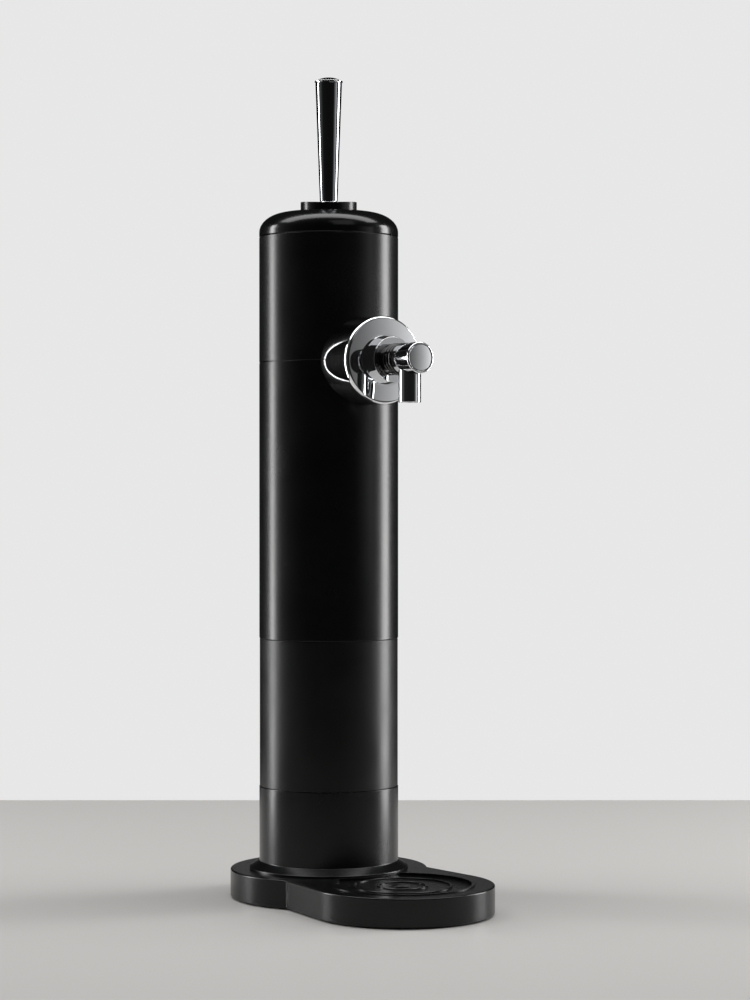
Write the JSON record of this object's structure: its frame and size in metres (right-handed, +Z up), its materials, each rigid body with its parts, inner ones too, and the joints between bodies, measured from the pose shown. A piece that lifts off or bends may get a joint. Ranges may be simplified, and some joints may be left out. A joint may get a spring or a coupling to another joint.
{
  "type": "countertop beer pourer",
  "caption": "Countertop beer pourer: a black tower for a can or bottle, a lift-off head with hand lever and chrome tap, and a round stand with a drip tray.",
  "frame": {"origin": "centre of the rubber pad under the tower, on the table", "axes": "+Z up along the tower's axis, -Y towards the tap and the glass stand, +X to the right of someone who stands in front and looks at the tap"},
  "size_m": [0.1414, 0.2308, 0.5891],
  "materials": {
    "satin_black": "moulded black plastic, satin to gloss",
    "matte_black": "moulded black plastic, fine texture",
    "gloss_black": "polished black plastic",
    "inner_plastic": "dark grey moulded plastic, unpolished",
    "white_plastic": "natural white acetal",
    "chrome": "polished chrome plate",
    "steel": "plain stainless or zinc-plated steel",
    "weight": "raw cast ring",
    "brass": "turned brass",
    "rubber": "black rubber",
    "hose": "milky silicone hose",
    "wire": "black wire insulation",
    "board": "green solder mask",
    "cell": "plain grey cell sleeve with metal ends",
    "ceramic": "piezo ceramic disc in a pale housing"
  },
  "bodies": {
    "base": {"tower_pad": "rubber", "stand_pad": "rubber", "base_cover": "inner_plastic", "base_shell": "satin_black", "base_weight": "weight", "tower_nut": "inner_plastic", "cover_screw_1": "steel", "cover_screw_2": "steel", "cover_screw_3": "steel", "lower_tower": "satin_black", "middle_tower": "matte_black", "upper_tower": "satin_black", "lower_seal": "rubber", "upper_seal": "rubber", "bottle_seat": "rubber"},
    "tray": {"drip_tray": "matte_black"},
    "head": {"escutcheon": "chrome", "tap_collar": "chrome", "tap_neck": "matte_black", "tap_stem": "steel", "tap_nut": "brass", "tap_body": "chrome", "tap_cap": "chrome", "piezo_disc": "ceramic", "spout": "chrome", "head_chassis": "inner_plastic", "head_seal": "rubber", "head_shell": "satin_black", "mechanism_deck": "inner_plastic", "deck_screw_1": "steel", "deck_screw_2": "steel", "deck_screw_3": "steel", "top_cap": "satin_black", "lever_ring": "gloss_black", "dip_tube": "steel", "beer_hose": "hose", "circuit_board": "board", "piezo_wires": "wire", "pump_motor": "steel", "pump_head": "white_plastic", "air_hose": "hose", "pump_wires": "wire", "battery_box": "inner_plastic", "battery_cell_1": "cell", "battery_cell_2": "cell", "battery_cell_3": "cell", "battery_contacts": "steel", "pivot_pin": "steel", "pour_switch": "gloss_black", "foam_switch": "gloss_black"},
    "crank": {"pump_shaft": "brass"},
    "door": {"battery_door": "satin_black"},
    "lever": {"lever_rod": "steel", "handle_ferrule": "chrome", "handle": "chrome", "handle_cap": "chrome"},
    "pour_button": {"pour_plunger": "white_plastic", "pour_spring": "steel"},
    "foam_button": {"foam_plunger": "white_plastic", "foam_spring": "steel"}
  },
  "joints": [
    {"name": "head_lift", "type": "slide", "parent": "base", "child": "head", "axis": [0, 0, 1], "range_m": [0, 0.35]},
    {"name": "tray_lift", "type": "slide", "parent": "base", "child": "tray", "axis": [0, 0, 1], "range_m": [0, 0.02]},
    {"name": "handle_tilt", "type": "hinge", "parent": "head", "child": "lever", "pos_m": [0, 0, 0.47], "axis": [1, 0, 0], "range_deg": [-15, 15], "stiffness_Nm_per_rad": 2},
    {"name": "pour_plunge", "type": "slide", "parent": "head", "child": "pour_button", "axis": [0, 0, 1], "range_m": [-0.0035, 0.0035], "deforming": ["pour_spring"]},
    {"name": "foam_plunge", "type": "slide", "parent": "head", "child": "foam_button", "axis": [0, 0, 1], "range_m": [-0.0035, 0.0035], "deforming": ["foam_spring"]},
    {"name": "door_release", "type": "slide", "parent": "head", "child": "door", "axis": [0, 1, 0], "range_m": [0, 0.02]},
    {"name": "pump_spin", "type": "hinge", "parent": "head", "child": "crank", "pos_m": [-0.0295, -0.004, 0.4], "axis": [0, 0, 1], "continuous": true}
  ],
  "couplings": [
    {"joint": "pour_plunge", "follows": "handle_tilt", "m_per_rad": -0.013},
    {"joint": "foam_plunge", "follows": "handle_tilt", "m_per_rad": 0.013}
  ]
}
